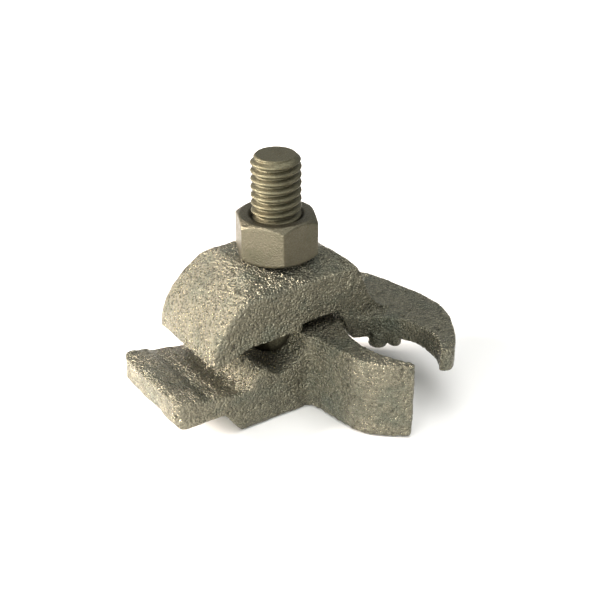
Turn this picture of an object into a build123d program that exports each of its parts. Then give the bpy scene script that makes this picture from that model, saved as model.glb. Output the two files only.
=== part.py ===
"""Ground clamp: two galvanised malleable-iron jaws drawn together by one captive square-head bolt.

Frame, in millimetres: the bolt axis is Z and points up, the clamp stands on the lower jaw's flat
foot at Z = 0, the lip and heel that grip a flange or bar are at -X, and the ear and hook that
hold a ground rod are at +X, reaching out toward -Y.
"""

import os

from build123d import *

# ---- clamp bolt and nut ---------------------------------------------------------------------
BOLT_DIAMETER = 9.525  # 3/8 in, 16 threads per inch
THREAD_PITCH = 25.4 / 16
THREAD_DEPTH = 0.6134 * THREAD_PITCH
THREAD_BELOW_NUT = 6.0  # so that the nut can be run further down
THREAD_CREST = THREAD_PITCH / 8
THREAD_FLANK = 0.5774  # tangent of the 30 degree flank angle
BOLT_SHANK = 42.6  # from under the head to the end
BOLT_END_DIAMETER = BOLT_DIAMETER - 2.0
END_CUT = 0.02  # the ridge stops this far short of the bolt's flat end
HEAD_ACROSS_FLATS = 14.29
HEAD_HEIGHT = 6.17
HEAD_BEVEL = 0.8
NUT_ACROSS_FLATS = 14.5  # 9/16 in and the zinc on it
NUT_HEIGHT = 8.33
NUT_FACE = 13.8  # across the flat ring inside the chamfer
NUT_BEVEL = 0.65  # fall of the chamfer for each millimetre outward
NUT_MOUTH = BOLT_DIAMETER + 1.2
NUT_TURNED = 5.6  # degrees from +X to the flat the spanner last left there

# ---- fits -----------------------------------------------------------------------------------
THREAD_CLEARANCE = 0.10  # galvanised nuts are tapped oversize by about this much, each side
SHANK_CLEARANCE = 0.70  # radial, both jaws ride loosely on the bolt
POCKET_CLEARANCE = 0.30  # cast pocket round the bolt head, each side
EAR_CLEARANCE = 0.70  # between the ear and the upper jaw's tongue
RIDGE_SINK = 0.05  # thread ridge starts this far inside the core, so that the two are one

# ---- lower jaw ------------------------------------------------------------------------------
BASE_WIDTH = 22.0
FOOT_END = -15.5
PLATE_END = -29.0
PLATE_UNDERSIDE = 5.0
PLATE_CORNER = 2.5
LIP_HEIGHT = 5.9
RIM_HEIGHT = 12.0
EAR_HEIGHT = 15.7
EAR_BACK = 8.1
EAR_REACH = -30.6
EAR_TIP = 9.9
EAR_WAIST = (6.1, -18.2)  # where the hollow of the ear comes nearest the bolt
EAR_ROOT = 0.2
EAR_ROOT_FILLET = 2.0
TAIL_END = 10.6  # the foot carries on under the upper jaw's tongue
TAIL_WIDTH = 18.0
TAIL_HEIGHT = 8.0

# ---- upper jaw ------------------------------------------------------------------------------
JAW_WIDTH = 20.0
SEAT_HEIGHT = 28.8
SEAT_END = 8.6
SEAT_EDGE = 1.0
CROWN_DROP = 2.4
BACK_FILLET = 1.2
HEEL_HEIGHT = 14.6
ARCH_HEIGHT = 16.6
EAR_HEADROOM = 2.3
HOOK_TOP = 15.0
HOOK_THICKNESS = 4.6
HOOK_WAIST = (20.4, -20.6)  # where the hollow of the hook is furthest from the bolt
TOOTH_RADII = (1.9, 1.3)
TOOTH_PLACES = ((16.2, -11.6), (19.0, -13.6))
TOOTH_DROP = 2.0
TOOTH_ROOT = 1.5  # how far a tooth runs up into the hook

os.makedirs("parts", exist_ok=True)

bolt_radius = BOLT_DIAMETER / 2
root_radius = bolt_radius - THREAD_DEPTH
bore_radius = bolt_radius + SHANK_CLEARANCE
bolt_end = HEAD_HEIGHT + BOLT_SHANK
thread_start = SEAT_HEIGHT - THREAD_BELOW_NUT
thread_length = bolt_end - thread_start
nut_top = SEAT_HEIGHT + NUT_HEIGHT
hook_underside = HOOK_TOP - HOOK_THICKNESS
lip_top = PLATE_UNDERSIDE + LIP_HEIGHT
pocket_side = HEAD_ACROSS_FLATS + 2 * POCKET_CLEARANCE
half_base = BASE_WIDTH / 2
half_jaw = JAW_WIDTH / 2


def thread_ridge(start, length, growth):
    """One right-hand thread ridge, wound up from `start`; `growth` makes it a tap for a nut."""
    inner = root_radius - RIDGE_SINK
    outer = bolt_radius + growth
    crest = THREAD_CREST + 2 * growth
    root = crest + 2 * THREAD_FLANK * (outer - inner)
    with BuildPart() as ridge:
        with BuildLine() as spine:
            Helix(THREAD_PITCH, length, inner, center=(0, 0, start))
        path = spine.line
        with BuildSketch(Plane(origin=path @ 0, x_dir=(1, 0, 0), z_dir=path % 0)):
            with BuildLine():
                Polyline(
                    (0, -root / 2),
                    (outer - inner, -crest / 2),
                    (outer - inner, crest / 2),
                    (0, root / 2),
                    close=True,
                )
            make_face()
        sweep(path=path, is_frenet=True)
    return ridge.part


# ---- lower jaw: lipped plate, foot with the head pocket, and the ear ----------------------
with BuildPart() as lower_jaw:
    with BuildSketch(Plane.XZ):
        with BuildLine():
            # foot, step up to the plate, blunt end of the lip
            outline = Polyline(
                (EAR_BACK, 0),
                (FOOT_END, 0),
                (FOOT_END - 3.6, PLATE_UNDERSIDE - 0.2),
                (PLATE_END + 0.8, PLATE_UNDERSIDE),
                (PLATE_END, PLATE_UNDERSIDE + 1.2),
                (PLATE_END, lip_top - 0.3),
                (PLATE_END + 1.0, lip_top),
                (-23.6, lip_top - 0.8),
            )
            # shallow trough the flange lies over, then the low rim beside the bolt well
            trough = Spline(outline @ 1, (-21.8, 9.3), (-19.4, 9.1), (-16.2, 8.3), (-13.0, 8.9))
            rim = Polyline(trough @ 1, (-11.1, RIM_HEIGHT), (-9.6, RIM_HEIGHT))
            well = Spline(rim @ 1, (-7.2, 9.8), (-4.6, 9.8), (-0.8, EAR_HEIGHT))
            Polyline(well @ 1, (EAR_BACK, EAR_HEIGHT), (EAR_BACK, 0))
        make_face()
    extrude(amount=half_base, both=True)
    fillet(lower_jaw.edges().filter_by(Axis.Z).group_by(Axis.X)[0], PLATE_CORNER)
    with BuildSketch():
        with BuildLine():
            hollow = ThreePointArc(
                (EAR_BACK, EAR_WAIST[1] + 8.25), EAR_WAIST, (EAR_TIP, EAR_WAIST[1] - 11.1)
            )
            tip = Polyline(hollow @ 1, (EAR_TIP, EAR_REACH + 0.3), (EAR_TIP - 0.7, EAR_REACH))
            shoulder = Line(tip @ 1, (5.8, EAR_REACH + 2.6))
            turn = TangentArc(shoulder @ 1, (1.9, EAR_REACH + 8.0), tangent=shoulder % 1)
            Polyline(turn @ 1, (EAR_ROOT, -half_base), (EAR_ROOT, 0), (EAR_BACK, 0), hollow @ 0)
        make_face()
    extrude(amount=EAR_HEIGHT)
    upright = lower_jaw.edges().filter_by(Axis.Z)
    fillet(upright.sort_by_distance((EAR_ROOT, -half_base, EAR_HEIGHT / 2))[0], EAR_ROOT_FILLET)
    Box(
        2 * TAIL_END,
        TAIL_WIDTH,
        TAIL_HEIGHT,
        align=(Align.CENTER, Align.CENTER, Align.MIN),
    )
    Box(
        pocket_side,
        pocket_side,
        HEAD_HEIGHT,
        align=(Align.CENTER, Align.CENTER, Align.MIN),
        mode=Mode.SUBTRACT,
    )
    Cylinder(bore_radius, 3 * EAR_HEIGHT, mode=Mode.SUBTRACT)

# ---- upper jaw: arched body with the nut seat, heel, tongue and hook ----------------------
with BuildPart() as upper_jaw:
    with BuildSketch(Plane.XZ):
        with BuildLine():
            back = Spline(
                (-20.4, HEEL_HEIGHT), (-19.9, 18.6), (-15.4, 25.0), (-9.0, SEAT_HEIGHT)
            )
            seat = Line(back @ 1, (SEAT_END, SEAT_HEIGHT))
            fall = Spline(seat @ 1, (12.5, 25.2), (14.6, 20.4), (17.4, 16.6), (20.8, HOOK_TOP))
            # tongue behind the ear, notch over it, arch, and the heel's gripping edge
            Polyline(
                fall @ 1,
                (20.8, hook_underside),
                (11.6, hook_underside),
                (9.9, 12.8),
                (EAR_BACK + EAR_CLEARANCE, EAR_HEIGHT + 0.1),
                (EAR_BACK + 0.2, EAR_HEIGHT + EAR_HEADROOM),
                (-0.7, EAR_HEIGHT + EAR_HEADROOM),
                (-1.1, ARCH_HEIGHT),
                (-12.5, ARCH_HEIGHT),
                (-19.0, HEEL_HEIGHT),
                back @ 0,
            )
        make_face()
    extrude(amount=half_jaw, both=True)
    # the crown falls away toward the ear's side
    with BuildSketch(Plane.YZ.offset(PLATE_END)):
        with BuildLine():
            crown = Spline(
                (-half_jaw, SEAT_HEIGHT - CROWN_DROP),
                (-6.5, SEAT_HEIGHT - 0.9),
                (-1.5, SEAT_HEIGHT),
            )
            Polyline(
                crown @ 1,
                (half_jaw - SEAT_EDGE, SEAT_HEIGHT),
                (half_jaw, SEAT_HEIGHT - SEAT_EDGE),
                (half_jaw, 0),
                (-half_jaw, 0),
                crown @ 0,
            )
        make_face()
    extrude(amount=-2 * PLATE_END, mode=Mode.INTERSECT)
    with BuildSketch(Plane.XY.offset(hook_underside)):
        with BuildLine():
            outside = Spline(
                (21.0, half_jaw),
                (24.6, 6.0),
                (28.0, -5.1),
                (29.4, -12.6),
                (27.0, -20.8),
                (20.9, -28.7),
            )
            nose = ThreePointArc(outside @ 1, (19.3, -29.3), (17.6, -28.3))
            hollow = Spline(nose @ 1, HOOK_WAIST, (19.2, -16.0), (16.2, -12.4), (12.4, -10.3))
            Polyline(hollow @ 1, (12.0, -half_jaw), (12.0, half_jaw), outside @ 0)
        make_face()
    extrude(amount=HOOK_THICKNESS)
    near_edges = upper_jaw.edges().filter_by(GeomType.BSPLINE)
    fillet(near_edges.sort_by_distance((-18.6, -half_jaw, 21.4))[0], BACK_FILLET)
    with BuildSketch(Plane.XY.offset(hook_underside - TOOTH_DROP)):
        for place, radius in zip(TOOTH_PLACES, TOOTH_RADII):
            with Locations(place):
                Circle(radius)
    extrude(amount=TOOTH_DROP + TOOTH_ROOT)
    fillet(upper_jaw.faces().sort_by(Axis.Z)[:2].edges(), TOOTH_DROP / 3)
    with Locations((0, 0, SEAT_HEIGHT)):
        Cylinder(bore_radius, 2 * SEAT_HEIGHT, mode=Mode.SUBTRACT)

# ---- clamp bolt: square head, plain shank, rolled thread ----------------------------------
with BuildPart() as rolled_thread:
    add(thread_ridge(thread_start - THREAD_PITCH, thread_length + 2 * THREAD_PITCH, 0))
    with BuildSketch(Plane.XZ):
        with BuildLine():
            # envelope the thread is trimmed to, with a 45 degree point at the bolt's end
            around = bolt_radius + THREAD_DEPTH
            Polyline(
                (0, thread_start),
                (around, thread_start),
                (around, bolt_end - (around - BOLT_END_DIAMETER / 2)),
                (BOLT_END_DIAMETER / 2, bolt_end - END_CUT),
                (0, bolt_end - END_CUT),
                close=True,
            )
        make_face()
    revolve(axis=Axis.Z, mode=Mode.INTERSECT)

with BuildPart() as clamp_bolt:
    with BuildSketch():
        Rectangle(HEAD_ACROSS_FLATS, HEAD_ACROSS_FLATS)
    extrude(amount=HEAD_HEIGHT)
    chamfer(clamp_bolt.faces().sort_by(Axis.Z)[0].edges(), HEAD_BEVEL)
    with BuildSketch(Plane.XY.offset(HEAD_HEIGHT)):
        Circle(bolt_radius - RIDGE_SINK)
    extrude(amount=thread_start - HEAD_HEIGHT)
    with BuildSketch(Plane.XY.offset(HEAD_HEIGHT)):
        Circle(root_radius)
    extrude(amount=BOLT_SHANK)
    add(rolled_thread.part)

# ---- hex nut: chamfered both sides, countersunk, tapped for the bolt ----------------------
with BuildPart() as hex_nut:
    with BuildSketch(Plane.XY.offset(SEAT_HEIGHT)):
        RegularPolygon(NUT_ACROSS_FLATS / 2, 6, major_radius=False, rotation=NUT_TURNED)
    extrude(amount=NUT_HEIGHT)
    with BuildSketch(Plane.XZ):
        with BuildLine():
            rim_radius = 0.6 * NUT_ACROSS_FLATS  # just beyond the corners
            bevel = NUT_BEVEL * (rim_radius - NUT_FACE / 2)
            Polyline(
                (0, SEAT_HEIGHT),
                (NUT_FACE / 2, SEAT_HEIGHT),
                (rim_radius, SEAT_HEIGHT + bevel),
                (rim_radius, nut_top - bevel),
                (NUT_FACE / 2, nut_top),
                (0, nut_top),
                close=True,
            )
        make_face()
    revolve(axis=Axis.Z, mode=Mode.INTERSECT)
    with Locations((0, 0, SEAT_HEIGHT)):
        Cylinder(root_radius + 2 * THREAD_CLEARANCE, 3 * NUT_HEIGHT, mode=Mode.SUBTRACT)
    with BuildSketch(Plane.XZ):
        with BuildLine():
            # 45 degree countersinks at both mouths
            sink = NUT_MOUTH / 2 - root_radius
            Polyline(
                (0, nut_top - sink),
                (root_radius, nut_top - sink),
                (NUT_MOUTH / 2, nut_top),
                (0, nut_top),
                close=True,
            )
            Polyline(
                (0, SEAT_HEIGHT + sink),
                (root_radius, SEAT_HEIGHT + sink),
                (NUT_MOUTH / 2, SEAT_HEIGHT),
                (0, SEAT_HEIGHT),
                close=True,
            )
        make_face()
    revolve(axis=Axis.Z, mode=Mode.SUBTRACT)
    # the tap follows the bolt's own helix, whole turns further along
    add(
        thread_ridge(thread_start + 2 * THREAD_PITCH, 11 * THREAD_PITCH, THREAD_CLEARANCE),
        mode=Mode.SUBTRACT,
    )

for name, piece in (
    ("lower_jaw", lower_jaw),
    ("upper_jaw", upper_jaw),
    ("clamp_bolt", clamp_bolt),
    ("hex_nut", hex_nut),
):
    piece.part.label = name
    export_step(piece.part, f"parts/{name}.step")
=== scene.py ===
# %% [markdown]
# # A galvanised ground clamp
# This clamp is two rough iron castings drawn together by one bolt and nut. The CAD model already
# holds every size and everything that moves. This lesson gives each piece the skin that its
# making gave it: sand-cast and dipped in molten zinc for the jaws, rolled and turned steel with
# the same zinc for the bolt and the nut. The scene starts by loading the CAD model as a fixed
# frame, and every new piece is measured from it.

# %% Load the frame
import math
import random
import bpy
import bmesh
from mathutils import Matrix, Vector


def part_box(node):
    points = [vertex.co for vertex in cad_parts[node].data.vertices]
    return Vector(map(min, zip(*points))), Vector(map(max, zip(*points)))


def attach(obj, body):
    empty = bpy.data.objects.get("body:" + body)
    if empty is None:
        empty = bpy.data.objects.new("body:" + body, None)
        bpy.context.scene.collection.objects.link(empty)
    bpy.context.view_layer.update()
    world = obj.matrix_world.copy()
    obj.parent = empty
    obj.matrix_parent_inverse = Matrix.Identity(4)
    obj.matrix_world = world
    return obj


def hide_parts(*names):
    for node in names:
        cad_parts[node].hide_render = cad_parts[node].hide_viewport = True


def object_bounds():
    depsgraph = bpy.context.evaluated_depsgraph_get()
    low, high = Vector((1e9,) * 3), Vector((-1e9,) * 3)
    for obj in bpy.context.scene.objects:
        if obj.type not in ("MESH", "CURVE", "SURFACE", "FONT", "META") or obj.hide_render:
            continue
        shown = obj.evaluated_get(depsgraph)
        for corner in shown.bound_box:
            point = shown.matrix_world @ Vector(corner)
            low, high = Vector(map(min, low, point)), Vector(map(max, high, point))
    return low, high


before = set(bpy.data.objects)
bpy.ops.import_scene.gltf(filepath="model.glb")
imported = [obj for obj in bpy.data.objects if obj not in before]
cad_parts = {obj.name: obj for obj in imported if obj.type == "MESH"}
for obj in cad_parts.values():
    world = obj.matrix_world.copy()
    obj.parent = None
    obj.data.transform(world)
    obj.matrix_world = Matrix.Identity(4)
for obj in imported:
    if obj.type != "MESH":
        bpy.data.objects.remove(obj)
cad_low, cad_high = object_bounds()
MM = 0.001
WELD = 0.002 * MM  # points closer than this are one point
print("CAD box in mm:", [round((b - a) / MM, 1) for a, b in zip(cad_low, cad_high)])

# %% [markdown]
# ## Three helpers
# Blender shades in linear light, while a colour given in hex is sRGB. One function turns a hex
# colour into linear numbers. A second adds a node to any tree, with its settings and its inputs;
# an input is either a number or the socket that feeds it. A third reads a list of sums, each
# with a name, and adds a Math node for each one, so that a long formula stays easy to read.

# %% Helpers for colours and nodes
def linear(hex_colour):
    """An sRGB hex colour as linear red, green, blue and alpha."""
    parts = [int(hex_colour[i : i + 2], 16) / 255 for i in (1, 3, 5)]
    return [c / 12.92 if c <= 0.04045 else ((c + 0.055) / 1.055) ** 2.4 for c in parts] + [1.0]


def add(tree, kind, inputs=None, **settings):
    """Adds one node; inputs maps a socket's name or number to a value or to a socket."""
    node = tree.nodes.new(kind)
    for name, value in settings.items():
        setattr(node, name, value)
    for name, value in (inputs or {}).items():
        if isinstance(value, bpy.types.NodeSocket):
            tree.links.new(value, node.inputs[name])
        else:
            node.inputs[name].default_value = value
    return node


def calculate(tree, values, steps):
    """Adds a Math node for each step and keeps its result in values under the step's name."""
    for name, operation, *inputs in steps:
        wired = {place: values.get(item, item) for place, item in enumerate(inputs)}
        values[name] = add(tree, "ShaderNodeMath", wired, operation=operation).outputs[0]
    return values


print("dull zinc in linear light:", [round(c, 3) for c in linear("#8A867A")])

# %% [markdown]
# ## The camera
# The camera looks down on the clamp from the lip's side, so that the heel, the slot under it and
# the hollow of the ear all show. It stands only about 20 cm away, which makes the near corner of
# the plate larger than the hook. Its place is worked out from an azimuth, an elevation and a
# distance, and its three axes are written straight into its matrix.

# %% Place the camera
AZIMUTH = math.radians(-34.8)
ELEVATION = math.radians(29.0)
DISTANCE = 210 * MM
FOCAL_TO_WIDTH = 1102 / 590  # focal length as a share of the picture's width
SENSOR_WIDTH = 36.0
AIM_RIGHT = 3.5 * MM
AIM_DOWN = 8.2 * MM

back = Vector((
    math.sin(AZIMUTH) * math.cos(ELEVATION),
    -math.cos(AZIMUTH) * math.cos(ELEVATION),
    math.sin(ELEVATION),
))
right = Vector((math.cos(AZIMUTH), math.sin(AZIMUTH), 0))
up = back.cross(right)
nut_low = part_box("hex_nut")[0]
aim = Vector((0, 0, nut_low[2])) + AIM_RIGHT * right - AIM_DOWN * up

camera = bpy.data.objects.new("camera", bpy.data.cameras.new("camera"))
camera.data.sensor_width = SENSOR_WIDTH
camera.data.lens = FOCAL_TO_WIDTH * SENSOR_WIDTH
camera.data.clip_start = 10 * MM
camera.matrix_world = Matrix.Translation(aim + back * DISTANCE) @ Matrix(
    (right, up, back)
).transposed().to_4x4()
bpy.context.scene.collection.objects.link(camera)
bpy.context.scene.camera = camera
print("lens in mm:", round(camera.data.lens, 1))

# %% [markdown]
# ## Floor and light
# A white sweep and soft light from all round suit dull zinc, which shows its form by what it
# reflects. A small bright lamp at the left, above the clamp, makes the rough arch of the heel
# glitter. A wide weak one in front lifts the ear, and a wide one overhead evens the crown. The
# studio itself is brighter above than near the floor, so that hollows stay dark. Soft light
# could also come from a picture of a studio, but lamps are easier to move until the tones are
# right.

# %% Make the floor and the lamps
FLOOR_HALF = 1.5
FLOOR_GAP = 0.25 * MM  # leaves room for the casting's grain under the foot


def make_floor():
    mesh = bpy.data.meshes.new("floor")
    corners = [(-1, -1), (1, -1), (1, 1), (-1, 1)]
    points = [(x * FLOOR_HALF, y * FLOOR_HALF, cad_low[2] - FLOOR_GAP) for x, y in corners]
    mesh.from_pydata(points, [], [(0, 1, 2, 3)])
    floor = bpy.data.objects.new("floor", mesh)
    bpy.context.scene.collection.objects.link(floor)
    paper = bpy.data.materials.new("white_paper")
    paper.use_nodes = True
    shader = paper.node_tree.nodes["Principled BSDF"]
    shader.inputs["Base Color"].default_value = linear("#F4F3F0")
    shader.inputs["Roughness"].default_value = 0.9
    shader.inputs["Specular IOR Level"].default_value = 0.1
    mesh.materials.append(paper)


def make_lamp(name, place, target, size, watts, colour="#FFFFFF"):
    lamp = bpy.data.objects.new(name, bpy.data.lights.new(name, "AREA"))
    lamp.data.shape = "SQUARE"
    lamp.data.size = size
    lamp.data.energy = watts
    lamp.data.color = linear(colour)[:3]
    lamp.location = place
    aim_line = Vector(target) - Vector(place)
    lamp.rotation_euler = aim_line.to_track_quat("-Z", "Y").to_euler()
    bpy.context.scene.collection.objects.link(lamp)


make_floor()
clamp_middle = [(a + b) / 2 for a, b in zip(cad_low, cad_high)]
make_lamp("left_softbox", (-0.39, 0.28, 0.22), clamp_middle, 0.13, 9.0, "#FFF3EB")
make_lamp("front_softbox", (-0.46, -0.20, 0.10), clamp_middle, 0.30, 3.3)
make_lamp("overhead_softbox", (0.05, -0.10, 0.60), clamp_middle, 0.50, 2.6)

world = bpy.data.worlds.new("studio")
world.use_nodes = True
sky = add(world.node_tree, "ShaderNodeTexCoord").outputs["Generated"]
sky = add(world.node_tree, "ShaderNodeSeparateXYZ", {0: sky}).outputs[2]
sky = add(world.node_tree, "ShaderNodeMapRange", {"Value": sky, "To Min": 0.44, "To Max": 0.60})
backdrop = world.node_tree.nodes["Background"]
backdrop.inputs["Color"].default_value = linear("#F2F4F4")
world.node_tree.links.new(sky.outputs[0], backdrop.inputs["Strength"])
bpy.context.scene.world = world
bpy.context.scene.view_settings.view_transform = "Standard"

# %% [markdown]
# ## Copy a CAD shape and melt its edges
# A sand mould can't hold a sharp edge, and molten zinc rounds what is left. A CAD mesh is all
# flat faces and crisp edges, so a copy of it is cut into voxels, which turns it into an even
# skin of small squares, and then smoothed. Bevels on every edge would also do it, but they fail
# where many small faces meet, and they give no even skin for the grain that comes next.

# %% Turn a CAD node into an even skin
def plain_mesh(piece, name):
    """The piece as its modifiers leave it, as a new object with no modifiers."""
    evaluated = piece.evaluated_get(bpy.context.evaluated_depsgraph_get())
    mesh = bpy.data.meshes.new_from_object(evaluated)
    bpy.data.objects.remove(piece)
    result = bpy.data.objects.new(name, mesh)
    bpy.context.scene.collection.objects.link(result)
    return result


def cad_copy(node_name, lumps=()):
    """A merged copy of a CAD node's mesh with round lumps stuck on, in an object of its own."""
    shape = bmesh.new()
    shape.from_mesh(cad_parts[node_name].data)
    bmesh.ops.remove_doubles(shape, verts=shape.verts, dist=WELD)
    for place, radius in lumps:
        bmesh.ops.create_icosphere(
            shape, subdivisions=2, radius=radius, matrix=Matrix.Translation(place)
        )
    mesh = bpy.data.meshes.new(node_name + "_copy")
    shape.to_mesh(mesh)
    shape.free()
    piece = bpy.data.objects.new(node_name + "_copy", mesh)
    bpy.context.scene.collection.objects.link(piece)
    return piece


def melted(piece, name, voxel, rounds):
    """The piece remeshed into squares as wide as a voxel and smoothed that many rounds."""
    squares = piece.modifiers.new("squares", "REMESH")
    squares.mode = "VOXEL"
    squares.voxel_size = voxel
    squares.adaptivity = 0
    soft = piece.modifiers.new("soft", "SMOOTH")
    soft.factor = 0.5
    soft.iterations = rounds
    piece = plain_mesh(piece, name)
    print(name, "faces:", len(piece.data.polygons))
    return piece


# %% [markdown]
# ## The skin of a sand casting
# The jaws are malleable iron, poured in a sand mould and dipped in zinc. The sand leaves low
# lumps a few millimetres across, a woven-looking grain of half a millimetre, and a few pits
# where a grain of sand washed loose. Geometry Nodes push every point of the skin along its
# normal by three layers of noise, each with its own named size and depth. Painting these into a
# bump map alone would be cheaper, but the outline and the glitter need real relief.

# %% Build the casting skin tree
def new_tree(name, numbers):
    """A geometry tree with a Geometry and a Material input and the named number inputs."""
    tree = bpy.data.node_groups.new(name, "GeometryNodeTree")
    tree.interface.new_socket("Geometry", in_out="INPUT", socket_type="NodeSocketGeometry")
    for label in numbers:
        tree.interface.new_socket(label, in_out="INPUT", socket_type="NodeSocketFloat")
    tree.interface.new_socket("Material", in_out="INPUT", socket_type="NodeSocketMaterial")
    tree.interface.new_socket("Geometry", in_out="OUTPUT", socket_type="NodeSocketGeometry")
    return tree


def close_tree(tree, geometry, given):
    """Ends a tree in Realize Instances and Set Material."""
    solid = add(tree, "GeometryNodeRealizeInstances", {"Geometry": geometry})
    painted = add(
        tree,
        "GeometryNodeSetMaterial",
        {"Geometry": solid.outputs[0], "Material": given.outputs["Material"]},
    )
    add(tree, "NodeGroupOutput", {"Geometry": painted.outputs[0]})


def grow(piece, name, tree, values):
    """Runs a tree on the piece with the named values and returns a plain mesh."""
    modifier = piece.modifiers.new(tree.name, "NODES")
    modifier.node_group = tree
    for item in tree.interface.items_tree:
        if item.in_out == "INPUT" and item.name in values:
            modifier[item.identifier] = values[item.name]
    return plain_mesh(piece, name)


def casting_tree():
    sizes = [layer + side for layer in ("Lump", "Grain", "Pit") for side in (" Size", " Depth")]
    sizes.append("Seed")
    tree = new_tree("casting_skin", sizes)
    given = add(tree, "NodeGroupInput")
    place = add(tree, "GeometryNodeInputPosition").outputs[0]
    values = {label: given.outputs[label] for label in sizes}
    for layer, detail in (("Lump", 1.0), ("Grain", 2.0), ("Pit", 0.0)):
        calculate(tree, values, [(layer + " Scale", "DIVIDE", 1.0, layer + " Size")])
        inputs = {"Vector": place, "W": values["Seed"], "Scale": values[layer + " Scale"]}
        inputs["Detail"] = detail
        noise = add(tree, "ShaderNodeTexNoise", inputs, noise_dimensions="4D")
        values[layer] = noise.outputs[0]
    calculate(tree, values, [
        ("lump", "SUBTRACT", "Lump", 0.5),
        ("lump push", "MULTIPLY", "lump", "Lump Depth"),
        ("grain", "SUBTRACT", "Grain", 0.5),
        ("grain push", "MULTIPLY", "grain", "Grain Depth"),
        ("pit", "MULTIPLY_ADD", "Pit", 10.0, -7.0),
        ("pit floor", "MAXIMUM", "pit", 0.0),
        ("pit mask", "MINIMUM", "pit floor", 1.0),
        ("pit push", "MULTIPLY", "pit mask", "Pit Depth"),
        ("raised", "ADD", "lump push", "grain push"),
        ("relief", "SUBTRACT", "raised", "pit push"),
        # lowest in the pits and grain hollows; the zinc paints shade there from this tone
        ("relief tone", "MULTIPLY_ADD", "pit mask", -0.4, "grain"),
    ])
    normal = add(tree, "GeometryNodeInputNormal").outputs[0]
    scaled = {0: normal, "Scale": values["relief"]}
    push = add(tree, "ShaderNodeVectorMath", scaled, operation="SCALE")
    skin = add(
        tree,
        "GeometryNodeSetPosition",
        {"Geometry": given.outputs["Geometry"], "Offset": push.outputs[0]},
    )
    marked = add(
        tree,
        "GeometryNodeStoreNamedAttribute",
        {"Geometry": skin.outputs[0], "Name": "relief_tone", "Value": values["relief tone"]},
    )
    close_tree(tree, marked.outputs[0], given)
    return tree


CASTING = casting_tree()
print("casting tree nodes:", len(CASTING.nodes))

# %% [markdown]
# ## Hot-dip zinc
# Galvanised iron is grey zinc with a faint warm cast, dull because it has weathered, with
# glints where the fine crystals catch the light. Zinc is a metal, so the shader is metallic and
# its colour is its reflection. A broad noise lays stains, a fine one follows the grain, and the
# relief stored on the casting brightens its rubbed high spots and paints shade into its hollows
# and pits, as a darker colour. A scatter of dots makes the dark pinholes. The crystals vary the
# roughness and the bump; real ones on so small a casting are too fine to see, so they are drawn
# a few tenths of a millimetre wide. A picture of a casting could be wrapped round the piece, but
# a procedural grain fits any shape.

# %% Make the zinc materials
STAIN_SIZE = 5 * MM
PINHOLE_SPACING = 2.0 * MM


def zinc(name, colours, roughness, grain_mm, bump_mm, crystal_mm, pinhole):
    """Dull hot-dip zinc; colours are its rubbed tone, a dark tone painted as shade in its hollows
    and pits, and its stain.
    """
    material = bpy.data.materials.new(name)
    material.use_nodes = True
    tree = material.node_tree
    shader = tree.nodes["Principled BSDF"]
    shader.inputs["Metallic"].default_value = 1.0
    place = add(tree, "ShaderNodeTexCoord").outputs["Object"]
    stained = {"Vector": place, "Scale": 1 / STAIN_SIZE, "Detail": 4.0}
    broad = add(tree, "ShaderNodeTexNoise", stained)
    fine = add(
        tree,
        "ShaderNodeTexNoise",
        {"Vector": place, "Scale": 1 / (grain_mm * MM), "Detail": 5.0, "Roughness": 0.7},
    )
    crystals = add(tree, "ShaderNodeTexVoronoi", {"Vector": place, "Scale": 1 / (crystal_mm * MM)})
    dots = add(tree, "ShaderNodeTexVoronoi", {"Vector": place, "Scale": 1 / PINHOLE_SPACING})
    # the casting's relief tone, which drives the painted shade in its hollows and pits
    relief = add(tree, "ShaderNodeAttribute", attribute_name="relief_tone")
    values = {
        "fine": fine.outputs[0],
        "broad": broad.outputs[0],
        "crystal": crystals.outputs["Distance"],
        "dot": dots.outputs["Distance"],
        "relief": relief.outputs["Fac"],
    }
    calculate(tree, values, [
        # lighter on rubbed high spots, painted shade in the hollows and pits of a casting
        ("wear_and_shade", "MULTIPLY_ADD", "relief", 0.6, "fine"),
        ("stain", "MULTIPLY_ADD", "broad", 3.2, -1.6),
        ("hole", "MULTIPLY_ADD", "dot", -26.0, 2.0),
        ("hole", "MINIMUM", "hole", pinhole),
        ("shine", "MULTIPLY_ADD", "crystal", 0.34, roughness - 0.16),
        ("height", "ADD", "fine", "crystal"),
    ])
    # the second colour is painted shade for the hollows and pits
    wear_and_shade, hollow, stain = (linear(colour) for colour in colours)
    tone = add(
        tree,
        "ShaderNodeMapRange",
        {"Value": values["wear_and_shade"], "From Min": 0.25, "From Max": 0.75},
    )
    colour = add(
        tree,
        "ShaderNodeMix",
        {"Factor": tone.outputs[0], "A": hollow, "B": wear_and_shade},
        data_type="RGBA",
        clamp_factor=True,
    )
    colour = add(
        tree,
        "ShaderNodeMix",
        {"Factor": values["stain"], "A": colour.outputs[2], "B": stain},
        data_type="RGBA",
        clamp_factor=True,
    )
    colour = add(
        tree,
        "ShaderNodeMix",
        {"Factor": values["hole"], "A": colour.outputs[2], "B": linear("#26221A")},
        data_type="RGBA",
        clamp_factor=True,
    )
    tree.links.new(colour.outputs[2], shader.inputs["Base Color"])
    tree.links.new(values["shine"], shader.inputs["Roughness"])
    bump = add(
        tree,
        "ShaderNodeBump",
        {"Strength": 0.9, "Distance": bump_mm * MM, "Height": values["height"]},
    )
    tree.links.new(bump.outputs[0], shader.inputs["Normal"])
    return material


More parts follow.
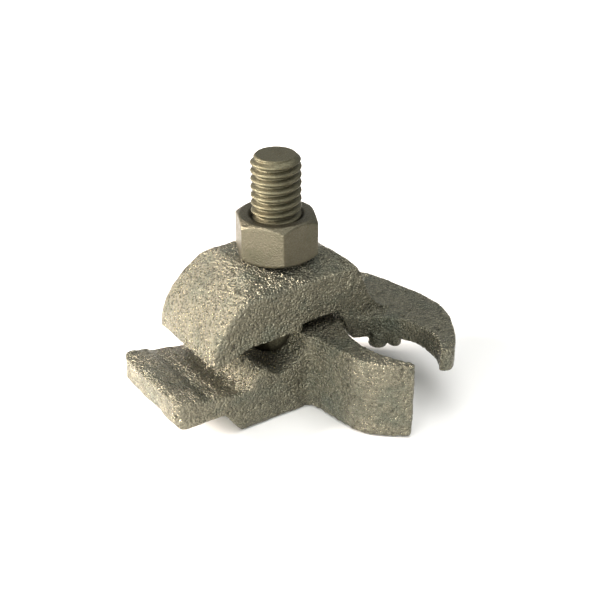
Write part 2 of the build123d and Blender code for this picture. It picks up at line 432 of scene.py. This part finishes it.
# each second colour is painted shade in a casting's hollows and pits; the nut and bolt store no
# relief, so there it only follows the fine noise
ZINC_CASTING = zinc(
    "hot_dip_zinc_on_sand_casting", ("#908C78", "#56544A", "#62665A"), 0.28, 0.40, 0.38, 0.45, 0.9
)
ZINC_NUT = zinc(
    "hot_dip_zinc_on_turned_steel", ("#6C6757", "#555244", "#504E3F"), 0.40, 0.35, 0.090, 0.30, 0.6
)
ZINC_BOLT = zinc(
    "hot_dip_zinc_on_rolled_thread", ("#73705C", "#4C4838", "#504A38"), 0.46, 0.25, 0.060, 0.20, 0.5
)
print("zinc materials:", [m.name for m in (ZINC_CASTING, ZINC_NUT, ZINC_BOLT)])

# %% [markdown]
# ## The two jaws
# Each jaw is its CAD shape, melted and given the casting skin. The seeds differ, so that the
# two castings don't share the same lumps. The upper jaw also carries two patches of small
# lumps: the stub where the iron was poured in, broken off beside the hook, and some slag on the
# back of the arch. Small balls are stuck on before melting, which blends them into the skin.

# %% Cast the jaws
SEED = 5
CASTING_VOXEL = 0.27 * MM
CASTING_ROUNDS = 3
dice = random.Random(SEED)


def patch(middle, spread, count, smallest, largest):
    """Lumps scattered round a place, in millimetres, as places and radii in metres."""
    return [
        (
            Vector([m + dice.uniform(-s, s) for m, s in zip(middle, spread)]) * MM,
            dice.uniform(smallest, largest) * MM,
        )
        for _ in range(count)
    ]


def cast(node_name, seed, grain_depth, body, lumps=()):
    """A jaw's CAD node as a casting; grain_depth is in millimetres."""
    copy = cad_copy(node_name, lumps)
    soft = melted(copy, node_name + "_soft", CASTING_VOXEL, CASTING_ROUNDS)
    values = {
        "Lump Size": 6 * MM,
        "Lump Depth": 0.7 * MM,
        "Grain Size": 0.85 * MM,
        "Grain Depth": grain_depth * MM,
        "Pit Size": 1.2 * MM,
        "Pit Depth": 0.25 * MM,
        "Seed": seed,
        "Material": ZINC_CASTING,
    }
    piece = grow(soft, node_name + "_casting", CASTING, values)
    piece.data.shade_smooth()
    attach(piece, body)
    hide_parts(node_name)
    return piece


gate_stub = patch((11.6, -9.5, 23.4), (1.7, 0.25, 0.9), 16, 0.5, 0.85)
slag = patch((-12.3, -5.5, 26.9), (1.2, 2.6, 0.3), 7, 0.4, 0.7)
lower = cast("lower_jaw", 3.0, 0.30, "base")
upper = cast("upper_jaw", 8.0, 0.27, "jaw", gate_stub + slag)
print("jaw faces:", len(lower.data.polygons), len(upper.data.polygons))

# %% [markdown]
# ## The rolled thread
# A bolt's thread is pressed in by rolling, and zinc fills its roots and rounds its crests. Its
# shape follows one rule: the radius depends only on how far along the pitch a point is, once
# its angle round the bolt has been taken off. So a flat grid of points is wrapped into a tube
# by that rule. A screw modifier could wind a profile round the axis too, but it leaves the
# run-out and the chamfered end to be cut by hand.

# %% Wrap a grid into the threaded shank
AROUND = 109  # points round the shank
ALONG = 460  # points along it


def thread_tree():
    radii = ["Crest Radius", "Root Radius", "Shank Radius", "End Radius"]
    sizes = ["Pitch", "Bottom", "Thread Start", "End"] + radii
    tree = new_tree("rolled_thread", sizes)
    given = add(tree, "NodeGroupInput")
    grid = add(
        tree,
        "GeometryNodeMeshGrid",
        {"Size X": 1.0, "Size Y": 1.0, "Vertices X": AROUND, "Vertices Y": ALONG},
    )
    spot = add(tree, "GeometryNodeInputPosition").outputs[0]
    spot = add(tree, "ShaderNodeSeparateXYZ", {0: spot})
    values = {label: given.outputs[label] for label in sizes}
    values.update({"across": spot.outputs[0], "up": spot.outputs[1]})
    calculate(tree, values, [
        ("turn", "ADD", "across", 0.5),
        ("angle", "MULTIPLY", "turn", 2 * math.pi),
        # the grid's length covers a cap at the bottom, the side and a cap at the end
        ("side", "SUBTRACT", "End", "Bottom"),
        ("whole", "MULTIPLY_ADD", "Crest Radius", 2.0, "side"),
        ("part", "ADD", "up", 0.5),
        ("reach", "MULTIPLY", "part", "whole"),
        ("along", "SUBTRACT", "reach", "Crest Radius"),
        ("climbed", "MAXIMUM", "along", 0.0),
        ("climb", "MINIMUM", "climbed", "side"),
        ("over", "SUBTRACT", "along", "side"),
        ("past end", "MAXIMUM", "over", 0.0),
        ("under", "MULTIPLY", "along", -1.0),
        ("before start", "MAXIMUM", "under", 0.0),
        ("height", "ADD", "climb", "Bottom"),
        # one wave to each pitch, 1 at the crest and 0 at the root
        ("above start", "SUBTRACT", "height", "Thread Start"),
        ("pitches", "DIVIDE", "above start", "Pitch"),
        ("phase", "SUBTRACT", "pitches", "turn"),
        ("phase angle", "MULTIPLY", "phase", 2 * math.pi),
        ("swing", "COSINE", "phase angle"),
        ("wave", "MULTIPLY_ADD", "swing", 0.5, 0.5),
        ("wave", "POWER", "wave", 0.75),
        ("depth", "SUBTRACT", "Crest Radius", "Root Radius"),
        ("threaded", "MULTIPLY_ADD", "wave", "depth", "Root Radius"),
        # the thread runs out into the plain shank over one pitch
        ("fade", "MAXIMUM", "pitches", 0.0),
        ("fade", "MINIMUM", "fade", 1.0),
        ("ridge", "SUBTRACT", "threaded", "Shank Radius"),
        ("body", "MULTIPLY_ADD", "ridge", "fade", "Shank Radius"),
        # a 45 degree point at the end, then the caps close to the axis
        ("left", "SUBTRACT", "End", "height"),
        ("point", "ADD", "End Radius", "left"),
        ("radius", "SMOOTH_MIN", "body", "point", 0.3 * MM),
        ("radius", "SUBTRACT", "radius", "past end"),
        ("radius", "SUBTRACT", "radius", "before start"),
        ("radius", "MAXIMUM", "radius", 0.0),
        ("cos", "COSINE", "angle"),
        ("sin", "SINE", "angle"),
        ("x", "MULTIPLY", "radius", "cos"),
        ("y", "MULTIPLY", "radius", "sin"),
    ])
    spiral = {0: values["x"], 1: values["y"], 2: values["height"]}
    wrapped = add(tree, "ShaderNodeCombineXYZ", spiral)
    tube = add(
        tree,
        "GeometryNodeSetPosition",
        {"Geometry": grid.outputs[0], "Position": wrapped.outputs[0]},
    )
    loose = {"Geometry": tube.outputs[0], "Distance": WELD}
    welded = add(tree, "GeometryNodeMergeByDistance", loose)
    close_tree(tree, welded.outputs[0], given)
    return tree


THREAD = thread_tree()
bolt_low, bolt_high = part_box("clamp_bolt")
PITCH = 25.4 / 16 * MM
HEAD_HEIGHT = 6.17 * MM
SHANK_IN_HEAD = 1.0 * MM
THREAD_BELOW_NUT = 6.0 * MM
carrier = bpy.data.objects.new("carrier", bpy.data.meshes.new("carrier"))
bpy.context.scene.collection.objects.link(carrier)
shank = grow(carrier, "bolt_shank", THREAD, {
    "Pitch": PITCH,
    "Crest Radius": 4.76 * MM,
    "Root Radius": 3.80 * MM,
    "Shank Radius": 4.71 * MM,
    "Bottom": bolt_low[2] + HEAD_HEIGHT - SHANK_IN_HEAD,
    "Thread Start": nut_low[2] - THREAD_BELOW_NUT,
    "End": bolt_high[2],
    "End Radius": 3.75 * MM,
    "Material": ZINC_BOLT,
})
shank.data.shade_smooth()
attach(shank, "base")
print("shank faces:", len(shank.data.polygons))

# %% [markdown]
# ## The bolt's square head
# The head is forged square so that the jaw's pocket can hold it still while the nut is turned.
# Most of it is hidden, so a plain block with its lower edges bevelled is enough. It is melted
# like the castings but keeps a smoother skin, with no relief. It stands in for the whole CAD
# bolt, and the threaded shank above belongs with it.

# %% Melt the bolt's square head
HEAD_BEVEL = 0.8 * MM
HEAD_VOXEL = 0.25 * MM
HEAD_ROUNDS = 3


def head_block():
    across = bolt_high[0] - bolt_low[0]
    shape = bmesh.new()
    bmesh.ops.create_cube(shape, size=1.0)
    for vert in shape.verts:
        vert.co.x *= across
        vert.co.y *= across
        vert.co.z = bolt_low[2] + (vert.co.z + 0.5) * HEAD_HEIGHT
    bmesh.ops.bevel(
        shape,
        geom=[e for e in shape.edges if all(v.co.z < bolt_low[2] + MM for v in e.verts)],
        offset=HEAD_BEVEL,
        segments=2,
        affect="EDGES",
    )
    mesh = bpy.data.meshes.new("head_block")
    shape.to_mesh(mesh)
    shape.free()
    block = bpy.data.objects.new("head_block", mesh)
    bpy.context.scene.collection.objects.link(block)
    return block


head = melted(head_block(), "bolt_head", HEAD_VOXEL, HEAD_ROUNDS)
head.data.materials.append(ZINC_BOLT)
head.data.shade_smooth()
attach(head, "base")
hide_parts("clamp_bolt")
print("head faces:", len(head.data.polygons))

# %% [markdown]
# ## The nut
# The nut is cut from hexagon bar, its corners turned off on both faces, and zinc softens the
# rest. Its CAD shape already has those chamfers and its tapped hole, so it only needs melting,
# in finer squares than the castings.

# %% Melt the nut
NUT_VOXEL = 0.16 * MM
NUT_ROUNDS = 8

nut = melted(cad_copy("hex_nut"), "hex_nut_zinc", NUT_VOXEL, NUT_ROUNDS)
nut.data.materials.append(ZINC_NUT)
nut.data.shade_smooth()
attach(nut, "nut")
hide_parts("hex_nut")
print("nut faces:", len(nut.data.polygons))
